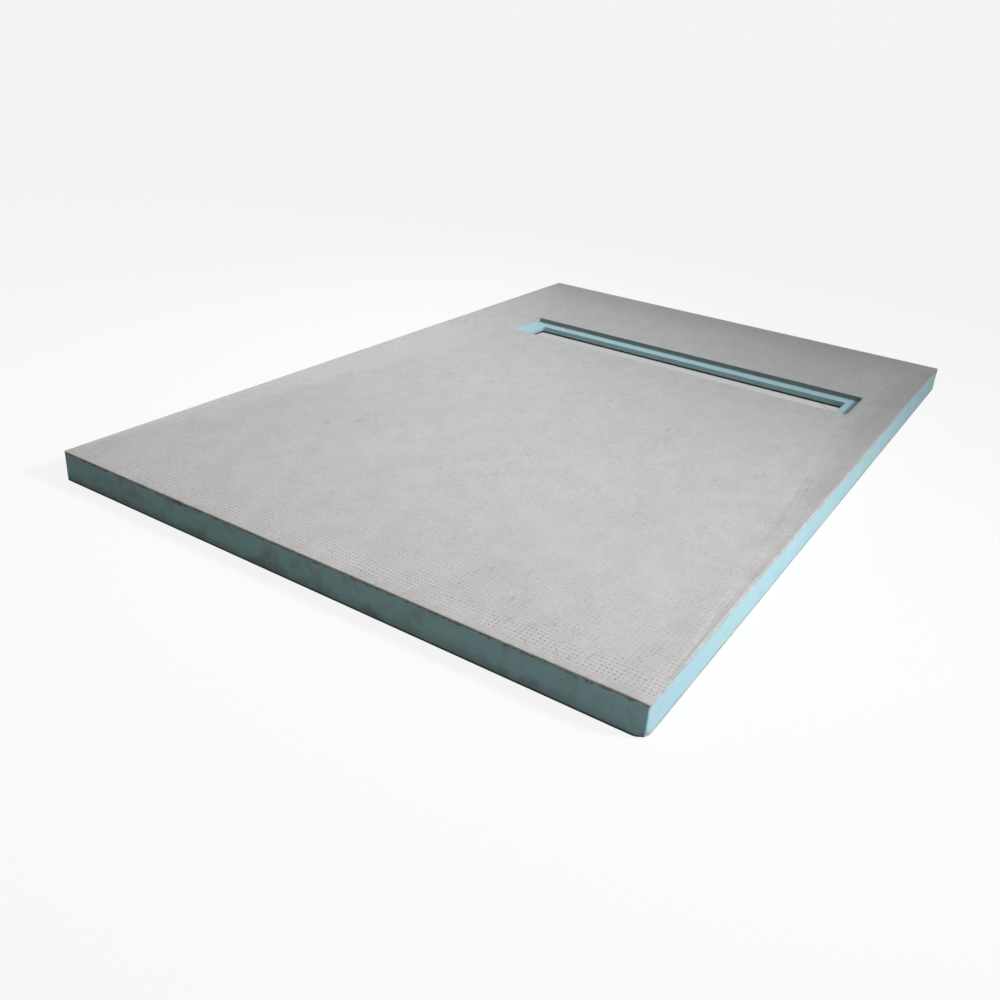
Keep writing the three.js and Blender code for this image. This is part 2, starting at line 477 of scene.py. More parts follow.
TUFT_PLACES = (-0.2175, -0.208, -0.191, -0.105, 0.055, 0.118, 0.231)
fibre_paths = []
for place in TUFT_PLACES:
    for _ in range(3):
        root_x = place + dice.uniform(-0.002, 0.002)
        start = np.array([root_x, -HALF_Y + 0.4 * MM, EDGE_TOP - 0.6 * MM])
        reach = [dice.uniform(-3, 3), dice.uniform(-1.2, 0.6), dice.uniform(0.5, 2.2)]
        bend = dice.uniform(-0.5, 0.5, 3) * MM
        fibre_paths.append(bent_path(start, start + np.array(reach) * MM, bend, 8))
edge_fibres = thread_object("edge_fibres", fibre_paths, [0.09 * MM] * len(fibre_paths))

# %% [markdown]
# Materials are built from nodes. Short helpers keep the node code readable: one makes a node and
# fills its inputs, some do arithmetic and masks, and some start a material or a group.
# Every pattern reads Object coordinates. The pieces sit at the origin, so those are metres on the
# real pan, and a pattern keeps its true size and place.

# %% Node helpers


def add(tree, kind, values=None, **settings):
    """A node of that kind. Values fill its inputs: a socket is linked, anything else is set."""
    node = tree.nodes.new(kind)
    for key, value in settings.items():
        setattr(node, key, value)
    for key, value in (values or {}).items():
        if isinstance(value, bpy.types.NodeSocket):
            tree.links.new(value, node.inputs[key])
        else:
            node.inputs[key].default_value = value
    return node


def calc(tree, operation, first, second=0.0, clamp=False):
    """The output of a Math node."""
    values = {0: first, 1: second}
    return add(tree, "ShaderNodeMath", values, operation=operation, use_clamp=clamp).outputs[0]


def times(tree, first, second):
    """The product of two values."""
    return calc(tree, "MULTIPLY", first, second)


def plus(tree, first, second):
    """The sum of two values."""
    return calc(tree, "ADD", first, second)


def minus(tree, first, second):
    """The first value less the second."""
    return calc(tree, "SUBTRACT", first, second)


def spread(tree, value, low, high, to_low=0.0, to_high=1.0):
    """A value moved smoothly from the range low..high to the range to_low..to_high."""
    values = {"Value": value, 1: low, 2: high, 3: to_low, 4: to_high}
    return add(tree, "ShaderNodeMapRange", values, interpolation_type="SMOOTHSTEP").outputs[0]


def within(tree, value, outer, inner):
    """A mask that rises from 0 where the value's size is outer to 1 where it is inner."""
    return spread(tree, calc(tree, "ABSOLUTE", value), outer, inner)


def noise(tree, vector, scale, detail=2.0, roughness=0.5):
    """The grey value of a noise texture, where scale counts features in each metre."""
    values = {"Vector": vector, "Scale": scale, "Detail": detail, "Roughness": roughness}
    return add(tree, "ShaderNodeTexNoise", values).outputs[0]


def blend_colour(tree, share, first, second, mode="MIX"):
    """The colour output of a Mix node between two colours."""
    values = {0: share, 6: first, 7: second}
    return add(tree, "ShaderNodeMix", values, data_type="RGBA", blend_type=mode).outputs[2]


def new_group(name, inputs, outputs):
    """A node group, its input sockets and the output node, from (name, default) pairs."""
    tree = bpy.data.node_groups.new(name, "ShaderNodeTree")
    for label, default in inputs:
        kind = "NodeSocketVector" if default is None else "NodeSocketFloat"
        socket = tree.interface.new_socket(label, in_out="INPUT", socket_type=kind)
        if default is not None:
            socket.default_value = default
    for label in outputs:
        tree.interface.new_socket(label, in_out="OUTPUT", socket_type="NodeSocketFloat")
    return tree, tree.nodes.new("NodeGroupInput").outputs, tree.nodes.new("NodeGroupOutput").inputs


def use_group(tree, group, **values):
    """A group placed in a material, with its inputs filled by name."""
    named = {key.replace("_", " ").capitalize(): value for key, value in values.items()}
    return add(tree, "ShaderNodeGroup", named, node_tree=group).outputs


def new_material(name):
    """A material with an empty Principled shader, and that shader's node."""
    material = bpy.data.materials.new(name)
    material.use_nodes = True
    tree = material.node_tree
    shader = tree.nodes["Principled BSDF"]
    place = tree.nodes.new("ShaderNodeTexCoord").outputs["Object"]
    return material, tree, shader, place


# %% [markdown]
# The glass mesh under the cement is a net of yarns a little over 5 mm apart. Where the cement is
# thin it sinks a little into each cell, so the face shows rows of shallow dimples, and here and
# there a pinhole where air was trapped. The group folds the surface into cells, lets the yarns
# wander, and gives the depth of the dimple, the height of the yarns and the pinholes of some cells.

# %% Glass mesh group
mesh_inputs = [("Vector", None), ("Pitch x", 0.005), ("Pitch y", 0.005)]
mesh_inputs += [("Wander", 0.0006), ("Pinholes", 0.06)]
mesh_group, given, result = new_group("glass_mesh", mesh_inputs, ["Dimple", "Yarn", "Pinhole"])
t = mesh_group
drift = add(t, "ShaderNodeTexNoise", {"Vector": given["Vector"], "Scale": 45.0, "Detail": 2.0})
centred = {0: drift.outputs["Color"], 1: (0.5, 0.5, 0.5)}
centred = add(t, "ShaderNodeVectorMath", centred, operation="SUBTRACT")
pushed = add(t, "ShaderNodeVectorMath", {0: centred.outputs[0], "Scale": 1.0}, operation="SCALE")
t.links.new(times(t, given["Wander"], 4.0), pushed.inputs["Scale"])
moved = add(t, "ShaderNodeVectorMath", {0: given["Vector"], 1: pushed.outputs[0]}, operation="ADD")
axes = add(t, "ShaderNodeSeparateXYZ", {0: moved.outputs[0]}).outputs
across_x = calc(t, "DIVIDE", axes["X"], given["Pitch x"])
across_y = calc(t, "DIVIDE", axes["Y"], given["Pitch y"])
wave_x = calc(t, "COSINE", times(t, across_x, 2 * np.pi))
wave_y = calc(t, "COSINE", times(t, across_y, 2 * np.pi))
soft_x = spread(t, wave_x, -1.0, 0.75)
soft_y = spread(t, wave_y, -1.0, 0.75)
yarn = calc(t, "MAXIMUM", soft_x, soft_y)
pit_x = plus(t, times(t, minus(t, 1.0, soft_x), 0.75), 0.25)
dimple = times(t, pit_x, minus(t, 1.0, soft_y))
cell_place = {0: calc(t, "FLOOR", across_x), 1: calc(t, "FLOOR", across_y)}
cell = add(t, "ShaderNodeCombineXYZ", cell_place)
luck = add(t, "ShaderNodeTexWhiteNoise", {"Vector": cell.outputs[0]}, noise_dimensions="3D")
luck = luck.outputs[0]
chosen = calc(t, "LESS_THAN", luck, given["Pinholes"])
core = spread(t, dimple, 0.55, 0.95)
depth_of_cell = plus(t, 0.35, times(t, luck, 1.1))
t.links.new(times(t, dimple, depth_of_cell), result["Dimple"])
t.links.new(yarn, result["Yarn"])
t.links.new(times(t, core, chosen), result["Pinhole"])
print("glass mesh group:", len(t.nodes), "nodes")

# %% [markdown]
# Dried cement is never one grey. It has broad clouds from the trowel and from uneven drying,
# smaller blotches, and a grain of fine sand. One group mixes noise at three sizes into a cloud
# value, and gives the sand as a height and as dark specks.

# %% Cement tone group
tone_group, given, result = new_group(
    "cement_tone", [("Vector", None), ("Cloud size", 0.22)], ["Cloud", "Blotch", "Sand", "Speck"]
)
t = tone_group
stretch = {"Vector": given["Vector"], "Scale": (1.0, 0.62, 1.0)}
stretch = add(t, "ShaderNodeMapping", stretch).outputs[0]
cloud_scale = calc(t, "DIVIDE", 1.0, given["Cloud size"])
cloud = add(t, "ShaderNodeTexNoise", {"Vector": stretch, "Detail": 3.0, "Distortion": 0.6})
t.links.new(cloud_scale, cloud.inputs["Scale"])
blotch = noise(t, stretch, 38.0, 4.0, 0.6)
sand = noise(t, given["Vector"], 1400.0, 2.0, 0.6)
speck = {"Vector": given["Vector"], "Scale": 210.0, "Randomness": 1.0}
speck = add(t, "ShaderNodeTexVoronoi", speck)
t.links.new(spread(t, cloud.outputs[0], 0.3, 0.7), result["Cloud"])
t.links.new(spread(t, blotch, 0.32, 0.68), result["Blotch"])
t.links.new(sand, result["Sand"])
t.links.new(spread(t, speck.outputs["Distance"], 0.16, 0.02), result["Speck"])
print("cement tone group:", len(t.nodes), "nodes")

# %% [markdown]
# The top coat uses both groups. The mesh shows most in a band along the front edge, less along
# the left and right edges, and in loose patches elsewhere, because the trowel left the cement
# thinner there. A strip of a centimetre along the front edge is thicker and smooth. All of that is
# one mask. The mask drives the colour of the dimples and, through a Bump node, the relief.
# A second mask marks the patches where the face is scraped.

# %% Top coat material
MESH_PITCH = {"pitch_x": 5.1 * MM, "pitch_y": 5.5 * MM}
MESH_BASE_SHARE = 0.07
PATCH_SHARE = 0.50
SIDE_BAND_SHARE = 0.48
cement_face, t, shader, place = new_material("cement_face")
tone = use_group(t, tone_group, vector=place, cloud_size=0.2)
net = use_group(t, mesh_group, vector=place, **MESH_PITCH, wander=0.0014, pinholes=0.035)
at = add(t, "ShaderNodeSeparateXYZ", {0: place}).outputs
from_front = plus(t, at["Y"], HALF_Y)
from_back = minus(t, HALF_Y, at["Y"])
from_left = plus(t, at["X"], HALF_X)
from_right = minus(t, HALF_X, at["X"])
front_band = spread(t, from_front, 0.055, 0.030)
front_fade = spread(t, from_front, 0.22, 0.04)
right_band = times(t, spread(t, from_right, 0.13, 0.02), spread(t, at["Y"], 0.1, -0.2, 0.45, 1.0))
patch = spread(t, noise(t, place, 9.0, 3.0, 0.6), 0.45, 0.62)
trowel = spread(t, noise(t, place, 30.0, 4.0, 0.68), 0.36, 0.58)
smooth_strip = spread(t, from_front, 0.006, 0.013)
left_band = spread(t, from_left, 0.09, 0.02)
thin = calc(t, "MAXIMUM", times(t, front_band, 1.15), times(t, front_fade, 0.66))
side_band = calc(t, "MAXIMUM", right_band, left_band)
thin = calc(t, "MAXIMUM", thin, times(t, side_band, SIDE_BAND_SHARE))
thin = calc(t, "MAXIMUM", thin, times(t, patch, PATCH_SHARE))
thin = times(t, plus(t, thin, MESH_BASE_SHARE), plus(t, times(t, trowel, 0.88), 0.12))
thin = calc(t, "MULTIPLY", thin, smooth_strip, clamp=True)
comb = add(t, "ShaderNodeMapping", {"Vector": place, "Scale": (0.8, 1.2, 1.0)}).outputs[0]
scuff = noise(t, comb, 260.0, 3.0, 0.7)
slant = {"Vector": place, "Rotation": (0.0, 0.0, 0.5), "Scale": (1.0, 0.35, 1.0)}
scrape_way = add(t, "ShaderNodeMapping", slant).outputs[0]
scrape = spread(t, noise(t, scrape_way, 170.0, 4.0, 0.65), 0.56, 0.68)
scrape = times(t, scrape, spread(t, noise(t, place, 11.0, 3.0, 0.65), 0.50, 0.62))
print("top coat masks:", len(t.nodes), "nodes")

# %% [markdown]
# The cement's colour is a light grey, warmer towards the front and cooler towards the drain. The
# left fall is a little darker than the rest, and a band along the back edge is darkened with
# painted shade. The right fall carries a painted highlight, strongest near the recess, in place of
# the shading of a curved face. Each side's fall is found as the place where the plane from that
# edge is the highest of all. The cut side of the coat along the right edge is darkened in patches
# with painted shade, and so is the rim above the back wall of the recess.

# %% Top coat colour and relief
SIDE_SLOPE = (EDGE_TOP - RIM_TOP) / SIDE_MARGIN
FRONT_SLOPE = (EDGE_TOP - RIM_TOP) / (DRAIN_Y - RECESS_HALF_Y + HALF_Y)
BACK_SLOPE = (EDGE_TOP - RIM_TOP) / (HALF_Y - DRAIN_Y - RECESS_HALF_Y)
front_drop = times(t, from_front, FRONT_SLOPE)
main_drop = calc(t, "MINIMUM", front_drop, times(t, from_back, BACK_SLOPE))
left_fall = spread(t, minus(t, main_drop, times(t, from_left, SIDE_SLOPE)), -5 * MM, 5 * MM)
right_fall = spread(t, minus(t, main_drop, times(t, from_right, SIDE_SLOPE)), -5 * MM, 5 * MM)
CEMENT_LIGHT = (0.554, 0.551, 0.566, 1)
CEMENT_MID = (0.496, 0.494, 0.502, 1)
CEMENT_COOL = (0.492, 0.500, 0.545, 1)
CEMENT_WARM = (0.518, 0.507, 0.515, 1)
CEMENT_DEEP = (0.30, 0.295, 0.29, 1)
CEMENT_PAINTED_HIGHLIGHT = (0.74, 0.735, 0.75, 1)
CEMENT_GRAIN = (0.72, 0.715, 0.71, 1)
CEMENT_BLOTCH = (0.36, 0.355, 0.35, 1)
CEMENT_YARN = (0.66, 0.655, 0.65, 1)
CEMENT_PINHOLE_SHADE = (0.13, 0.125, 0.12, 1)
EDGE_SHADE = (0.30, 0.275, 0.29, 1)
RIM_PAINTED_SHADE = (0.17, 0.19, 0.20, 1)
colour = blend_colour(t, tone["Cloud"], CEMENT_MID, CEMENT_LIGHT)
drift = minus(t, noise(t, place, 5.0, 3.0), 0.5)
warmth = plus(t, at["Y"], times(t, drift, 0.6))
tint = blend_colour(t, spread(t, warmth, 0.15, -0.55), CEMENT_COOL, CEMENT_WARM)
colour = blend_colour(t, 0.6, colour, tint)
colour = blend_colour(t, times(t, left_fall, 0.22), colour, CEMENT_DEEP)
# A band along the back edge is darkened as painted shade.
back_painted_shade = spread(t, from_back, 0.11, 0.0)
colour = blend_colour(t, times(t, back_painted_shade, 0.30), colour, CEMENT_DEEP)
# Painted highlight on the right fall, strongest near the recess and towards the front.
painted_highlight_share = spread(t, from_right, 0.012, 0.075, 0.06, 0.50)
painted_highlight_share = plus(t, painted_highlight_share, spread(t, at["Y"], 0.25, -0.05, 0.12, 0.42))
painted_highlight_share = plus(t, painted_highlight_share, spread(t, at["Y"], -0.05, -0.4, 0.0, 0.35))
colour = blend_colour(t, times(t, right_fall, painted_highlight_share), colour, CEMENT_PAINTED_HIGHLIGHT)
colour = blend_colour(t, times(t, scrape, 0.55), colour, CEMENT_DEEP)
blotch_dark = times(t, minus(t, 1.0, tone["Blotch"]), 0.27)
colour = blend_colour(t, blotch_dark, colour, CEMENT_BLOTCH)
colour = blend_colour(t, spread(t, scuff, 0.48, 0.33, 0.0, 0.30), colour, CEMENT_DEEP)
colour = blend_colour(t, spread(t, scuff, 0.54, 0.70, 0.0, 0.22), colour, CEMENT_GRAIN)
dimple_dark = times(t, times(t, net["Dimple"], thin), 0.58)
colour = blend_colour(t, dimple_dark, colour, CEMENT_DEEP)
yarn_light = times(t, times(t, net["Yarn"], thin), 0.20)
colour = blend_colour(t, yarn_light, colour, CEMENT_YARN)
# The pinholes are painted nearly black as painted shade inside them; the same mask deepens them in
# the relief.
pinhole_depth_and_shade = times(t, times(t, net["Pinhole"], spread(t, thin, 0.2, 0.7)), 0.6)
colour = blend_colour(t, pinhole_depth_and_shade, colour, CEMENT_PINHOLE_SHADE)
colour = blend_colour(t, times(t, tone["Speck"], 0.25), colour, CEMENT_DEEP)
# The rim above the back wall of the recess is darkened as painted shade.
past_rim = minus(t, at["Y"], DRAIN_Y + RECESS_HALF_Y)
rim_x = within(t, at["X"], RECESS_HALF_X + 2 * MM, RECESS_HALF_X + 1 * MM)
rim_y = spread(t, past_rim, -1.2 * MM, -0.4 * MM)
rim_y = times(t, rim_y, spread(t, past_rim, 2 * MM, 1 * MM))
rim_wall_shade = times(t, rim_x, rim_y)
rim_wall_shade = times(t, rim_wall_shade, spread(t, at["Z"], RIM_TOP + 0.1 * MM, RIM_TOP - 0.3 * MM))
colour = blend_colour(t, times(t, rim_wall_shade, 0.85), colour, RIM_PAINTED_SHADE)
# The cut side along the right edge is darkened in patches as painted shade.
side_shade_patches = spread(t, noise(t, place, 120.0, 3.0, 0.7), 0.35, 0.60, 0.30, 0.75)
right_side = times(t, spread(t, from_right, 1.2 * MM, 0.4 * MM), side_shade_patches)
colour = blend_colour(t, right_side, colour, EDGE_SHADE)
t.links.new(colour, shader.inputs["Base Color"])
rough = plus(t, 0.80, times(t, tone["Blotch"], 0.12))
t.links.new(rough, shader.inputs["Roughness"])
shader.inputs["Specular IOR Level"].default_value = 0.35
relief = times(t, minus(t, net["Yarn"], net["Dimple"]), times(t, thin, 0.6))
relief = minus(t, relief, times(t, pinhole_depth_and_shade, 1.2))
relief = plus(t, relief, times(t, tone["Sand"], 0.22))
relief = plus(t, relief, times(t, scuff, 0.6))
relief = plus(t, relief, times(t, tone["Blotch"], 0.35))
bump = add(t, "ShaderNodeBump", {"Height": relief, "Strength": 0.9, "Distance": 0.16 * MM})
t.links.new(bump.outputs[0], shader.inputs["Normal"])
cement_top.data.materials.append(cement_face)

# %% [markdown]
# The bottom coat was pressed on a flat bed, so its mesh shows evenly all over, and it has
# picked up some dirt. It uses the same two groups with other values. Its edge along the front side
# and at the foot of the slot is painted almost black as painted shade.

# %% Bottom coat material
cement_under, t, shader, place = new_material("cement_under")
tone = use_group(t, tone_group, vector=place, cloud_size=0.16)
net = use_group(t, mesh_group, vector=place, **MESH_PITCH, wander=0.0005, pinholes=0.03)
colour = blend_colour(t, tone["Cloud"], (0.42, 0.415, 0.41, 1), (0.50, 0.495, 0.49, 1))
dirt = times(t, minus(t, 1.0, tone["Blotch"]), 0.25)
colour = blend_colour(t, dirt, colour, (0.20, 0.185, 0.17, 1))
colour = blend_colour(t, times(t, net["Dimple"], 0.30), colour, (0.18, 0.178, 0.175, 1))
# The pinholes are painted nearly black as painted shade inside them.
colour = blend_colour(t, times(t, net["Pinhole"], 0.7), colour, (0.08, 0.08, 0.08, 1))
at = add(t, "ShaderNodeSeparateXYZ", {0: place}).outputs
# Painted shade: the edge along the front side and at the foot of the slot is painted almost black.
at_front = spread(t, at["Y"], -HALF_Y + 3 * MM, -HALF_Y + 2 * MM)
from_drain = minus(t, at["Y"], DRAIN_Y)
in_slot_y = within(t, from_drain, SLOT_HALF_Y + 2 * MM, SLOT_HALF_Y + 1 * MM)
in_slot_x = within(t, at["X"], SLOT_HALF_X + 2 * MM, SLOT_HALF_X + 1 * MM)
front_and_slot_shade = calc(t, "MAXIMUM", at_front, times(t, in_slot_y, in_slot_x))
colour = blend_colour(t, times(t, front_and_slot_shade, 0.92), colour, (0.05, 0.052, 0.055, 1))
t.links.new(colour, shader.inputs["Base Color"])
t.links.new(plus(t, 0.82, times(t, tone["Blotch"], 0.1)), shader.inputs["Roughness"])
shader.inputs["Specular IOR Level"].default_value = 0.3
relief = times(t, minus(t, net["Yarn"], net["Dimple"]), 0.55)
relief = plus(t, relief, times(t, tone["Sand"], 0.25))
bump = add(t, "ShaderNodeBump", {"Height": relief, "Strength": 0.9, "Distance": 0.18 * MM})
t.links.new(bump.outputs[0], shader.inputs["Normal"])
cement_base.data.materials.append(cement_under)

# %% [markdown]
# The foam is pale blue-green. A hot wire leaves faint streaks along the cut, and between them the
# tiny closed cells show as a fine grain. The colour drifts between bluer and greener, the sides
# carry smudges of grey cement dust, and dust gathers close under the top coat. The streaks run
# along each side, so the noise is stretched in X and Y and left short in Z. Crumbs of cement
# cling just under the top coat and make its lower line ragged. On the front side a ragged dark band
# just under the coat is painted shadow of the coat's lip. That side is darker towards its foot, and
# in fine patches round its knocked corner. The upright wall of the recess is smeared with cement;
# along the back it is painted dark as painted shade, and speckled, and at the right end it is
# painted near white as painted light.

# %% Foam material
foam_skin, t, shader, place = new_material("foam_skin")
at = add(t, "ShaderNodeSeparateXYZ", {0: place}).outputs
long_way = add(t, "ShaderNodeMapping", {"Vector": place, "Scale": (14.0, 14.0, 420.0)}).outputs[0]
streak = add(t, "ShaderNodeTexNoise", {"Vector": long_way, "Scale": 1.0, "Detail": 3.0}).outputs[0]
cells = add(t, "ShaderNodeTexVoronoi", {"Vector": place, "Scale": 1900.0}, feature="F1")
cells = cells.outputs["Distance"]
drift = spread(t, noise(t, place, 8.0, 3.0, 0.6), 0.38, 0.62)
violet = spread(t, noise(t, place, 13.0, 2.0, 0.5), 0.52, 0.68)
smudge = spread(t, noise(t, place, 34.0, 4.0, 0.65), 0.48, 0.75)
fleck = spread(t, noise(t, place, 160.0, 3.0, 0.7), 0.60, 0.74)
FOAM_BLUE = (0.372, 0.578, 0.688, 1)
FOAM_GREEN = (0.365, 0.605, 0.645, 1)
FOAM_VIOLET = (0.455, 0.600, 0.735, 1)
FOAM_PALE = (0.50, 0.69, 0.74, 1)
FOAM_SHADE = (0.345, 0.585, 0.600, 1)
CRUMB_GREY = (0.42, 0.39, 0.375, 1)
LIP_SHADOW_DARK = (0.185, 0.155, 0.150, 1)
CEMENT_DUST = (0.42, 0.42, 0.41, 1)
WALL_CEMENT = (0.50, 0.50, 0.52, 1)
WALL_PAINTED_SHADE = (0.20, 0.235, 0.25, 1)
colour = blend_colour(t, drift, FOAM_BLUE, FOAM_GREEN)
at_front = spread(t, at["Y"], -HALF_Y + 4 * MM, -HALF_Y + 2 * MM)
colour = blend_colour(t, times(t, violet, 0.45), colour, FOAM_VIOLET)
colour = blend_colour(t, times(t, at_front, 0.4), colour, FOAM_SHADE)
colour = blend_colour(t, times(t, spread(t, streak, 0.45, 0.7), 0.18), colour, FOAM_PALE)
colour = blend_colour(t, times(t, smudge, 0.20), colour, CEMENT_DUST)
under_coat = spread(t, at["Z"], FOAM_TOP - 5 * MM, FOAM_TOP)
dust = times(t, under_coat, spread(t, noise(t, place, 60.0, 3.0, 0.6), 0.35, 0.7))
colour = blend_colour(t, times(t, dust, 0.45), colour, CEMENT_DUST)
colour = blend_colour(t, times(t, fleck, 0.30), colour, (0.20, 0.30, 0.32, 1))
crumb_top = times(t, minus(t, noise(t, place, 300.0, 4.0, 0.7), 0.5), 9 * MM)
crumbs = spread(t, plus(t, at["Z"], crumb_top), FOAM_TOP - 0.9 * MM, FOAM_TOP - 0.3 * MM)
colour = blend_colour(t, times(t, crumbs, 0.9), colour, CRUMB_GREY)
shadow_top = times(t, minus(t, noise(t, place, 130.0, 4.0, 0.7), 0.5), 14 * MM)
tuft = spread(t, calc(t, "ABSOLUTE", plus(t, at["X"], 0.2)), 0.024, 0.006, 0.0, 2 * MM)
shadow_top = plus(t, shadow_top, tuft)
shadow_line = spread(t, plus(t, at["Z"], shadow_top), FOAM_TOP - 1.6 * MM, FOAM_TOP - 0.6 * MM)
shadow_line = times(t, shadow_line, at_front)
# The ragged dark band is painted shadow of the coat's lip, on the front side only.
colour = blend_colour(t, times(t, shadow_line, 0.8), colour, LIP_SHADOW_DARK)
# The front side is darker towards its foot and in cement-dust smudges.
foot_darkening_top = times(t, minus(t, noise(t, place, 28.0, 4.0, 0.6), 0.5), 30 * MM)
foot_darkening = spread(t, plus(t, at["Z"], foot_darkening_top), 17 * MM, 1 * MM)
foot_darkening = plus(t, times(t, foot_darkening, 0.40), times(t, smudge, 0.42))
colour = blend_colour(t, times(t, foot_darkening, at_front), colour, (0.17, 0.20, 0.20, 1))
# Fine patches round the knocked corner are darker.
to_corner = {0: place, 1: (*FRONT_RIGHT, 0)}
from_corner = add(t, "ShaderNodeVectorMath", to_corner, operation="DISTANCE").outputs["Value"]
corner_darkening = spread(t, noise(t, place, 420.0, 2.0), 0.4, 0.6)
corner_darkening = times(t, spread(t, from_corner, 12 * MM, 4 * MM), corner_darkening)
colour = blend_colour(t, times(t, corner_darkening, 0.6), colour, (0.15, 0.19, 0.19, 1))
from_drain = minus(t, at["Y"], DRAIN_Y)
inside_x = within(t, at["X"], RECESS_HALF_X + 3 * MM, RECESS_HALF_X + 2 * MM)
inside_y = within(t, from_drain, RECESS_HALF_Y + 3 * MM, RECESS_HALF_Y + 2 * MM)
wall_edge = times(t, minus(t, noise(t, place, 90.0, 3.0, 0.6), 0.5), 3 * MM)
on_wall = spread(t, plus(t, at["Z"], wall_edge), LEDGE_TOP + 0.2 * MM, LEDGE_TOP + 1.4 * MM)
lime = times(t, times(t, inside_x, inside_y), on_wall)
colour = blend_colour(t, times(t, lime, 0.8), colour, WALL_CEMENT)
# Along the back the wall is painted dark as painted shade, speckled.
back_wall = spread(t, at["Y"], DRAIN_Y + RECESS_HALF_Y - 2 * MM, DRAIN_Y + RECESS_HALF_Y - 1 * MM)
rough_cut = spread(t, noise(t, place, 620.0, 2.0, 0.6), 0.36, 0.62)
back_wall_shade = minus(t, 1.0, times(t, rough_cut, 0.35))
back_wall_shade = times(t, times(t, lime, back_wall), back_wall_shade)
colour = blend_colour(t, back_wall_shade, colour, WALL_PAINTED_SHADE)
# At the right end the wall is painted near white as painted light.
right_wall_painted_light = times(t, lime, spread(t, at["X"], RECESS_HALF_X - 3 * MM, RECESS_HALF_X - 2 * MM))
right_wall_painted_light = times(t, right_wall_painted_light, minus(t, 1.0, back_wall))
colour = blend_colour(t, times(t, right_wall_painted_light, 0.9), colour, (0.88, 0.87, 0.92, 1))
t.links.new(colour, shader.inputs["Base Color"])
t.links.new(plus(t, 0.62, times(t, smudge, 0.2)), shader.inputs["Roughness"])
shader.inputs["Specular IOR Level"].default_value = 0.4
shader.inputs["Subsurface Weight"].default_value = 0.12
shader.inputs["Subsurface Radius"].default_value = (0.004, 0.006, 0.007)
shader.inputs["Subsurface Scale"].default_value = 0.5
relief = plus(t, times(t, streak, 0.7), times(t, cells, 0.30))
relief = minus(t, relief, times(t, fleck, 0.5))
bump = add(t, "ShaderNodeBump", {"Height": relief, "Strength": 0.8, "Distance": 0.22 * MM})
t.links.new(bump.outputs[0], shader.inputs["Normal"])
foam_board.data.materials.append(foam_skin)

# %% [markdown]
# The threads are glass yarn greyed by cement: dull, with a faint twist that shows as fine bands.

# %% Thread material
glass_yarn, t, shader, place = new_material("glass_yarn")
twist = add(t, "ShaderNodeTexWave", {"Vector": place, "Scale": 900.0, "Distortion": 2.0})
twist = twist.outputs["Fac"]
colour = blend_colour(t, twist, (0.16, 0.15, 0.145, 1), (0.30, 0.29, 0.28, 1))
t.links.new(colour, shader.inputs["Base Color"])
t.links.new(plus(t, 0.55, times(t, twist, 0.2)), shader.inputs["Roughness"])
bump = add(t, "ShaderNodeBump", {"Height": twist, "Strength": 0.5, "Distance": 0.05 * MM})
t.links.new(bump.outputs[0], shader.inputs["Normal"])
for piece in (loose_thread, edge_fibres):
    piece.data.materials.append(glass_yarn)
print("materials:", sorted(m.name for m in bpy.data.materials))

# %% [markdown]
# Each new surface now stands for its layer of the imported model, which stays hidden underneath.
# The pan has no joints, so every piece rides on the one body.

# %% Pieces and their layers
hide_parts("top_coat")
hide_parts("foam_core")
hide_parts("bottom_coat")
LAYER_SLOTS = {
    "top_cement": [cement_top],
    "foam": [foam_board],
    "bottom_cement": [cement_base, loose_thread, edge_fibres],
}
for slot_name, pieces in LAYER_SLOTS.items():
    for piece in pieces:
        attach(piece, "root")

# %% [markdown]
# The studio has a plain pale floor and soft lights. The photograph's light comes from the right and
# slightly from behind, which keeps the front side in shade and brightens the right side, and it
# fades towards the back. Three soft boxes at the right each light their own stretch of the pan, one
# above the back left corner lifts the far side, and a weak one in front lifts the shaded side.
# The floor looks pale to the camera but sends little light back up, as if a dark cloth lay in
# front, so the shaded side stays as deep as in the photo. Under the slot its glow to the camera is
# halved as a painted shadow, and there it sends more light back up. It is cut out under the pan,
# apart from a sheet below the slot, so that the underside can be seen from below.

# %% Floor
FLOOR_HALF = 60
FLOOR_GAP = 0.3 * MM
HOLE_MARGIN = 12 * MM
PAPER_TO_CAMERA = (0.10, 0.10, 0.10, 1)
PAPER_TO_LIGHT = (0.17, 0.17, 0.16, 1)
PAPER_IN_SLOT = (0.45, 0.45, 0.45, 1)
PAPER_GLOW = (0.87, 0.87, 0.87, 1)
SLOT_SHADOWED_GLOW = (0.44, 0.44, 0.44, 1)
NO_GLOW = (0, 0, 0, 1)
floor_mesh = bpy.data.meshes.new("studio_floor")
corners = np.array([(-1, -1), (1, -1), (1, 1), (-1, 1)])
floor_outer = corners * FLOOR_HALF
floor_hole = corners * (HALF_X - HOLE_MARGIN, HALF_Y - HOLE_MARGIN)
slot_sheet = corners * (SLOT_HALF_X + 1 * MM, SLOT_HALF_Y + 1 * MM) + (0, DRAIN_Y)
flat = np.vstack([floor_outer, floor_hole, slot_sheet])
floor_points = np.column_stack([flat, np.full(len(flat), -FLOOR_GAP)])
floor_faces = [(0, 1, 5, 4), (1, 2, 6, 5), (2, 3, 7, 6), (3, 0, 4, 7), (8, 9, 10, 11)]
floor_mesh.from_pydata(floor_points.tolist(), [], floor_faces)
floor = bpy.data.objects.new("studio_floor", floor_mesh)
bpy.context.scene.collection.objects.link(floor)
paper, t, shader, place = new_material("studio_paper")
at = add(t, "ShaderNodeSeparateXYZ", {0: place}).outputs
slot_across = within(t, minus(t, at["Y"], DRAIN_Y), 0.14, 0.11)
slot_along = within(t, at["X"], HALF_X, HALF_X - 0.03)
under_slot = times(t, slot_across, slot_along)
direct = add(t, "ShaderNodeLightPath").outputs["Is Camera Ray"]
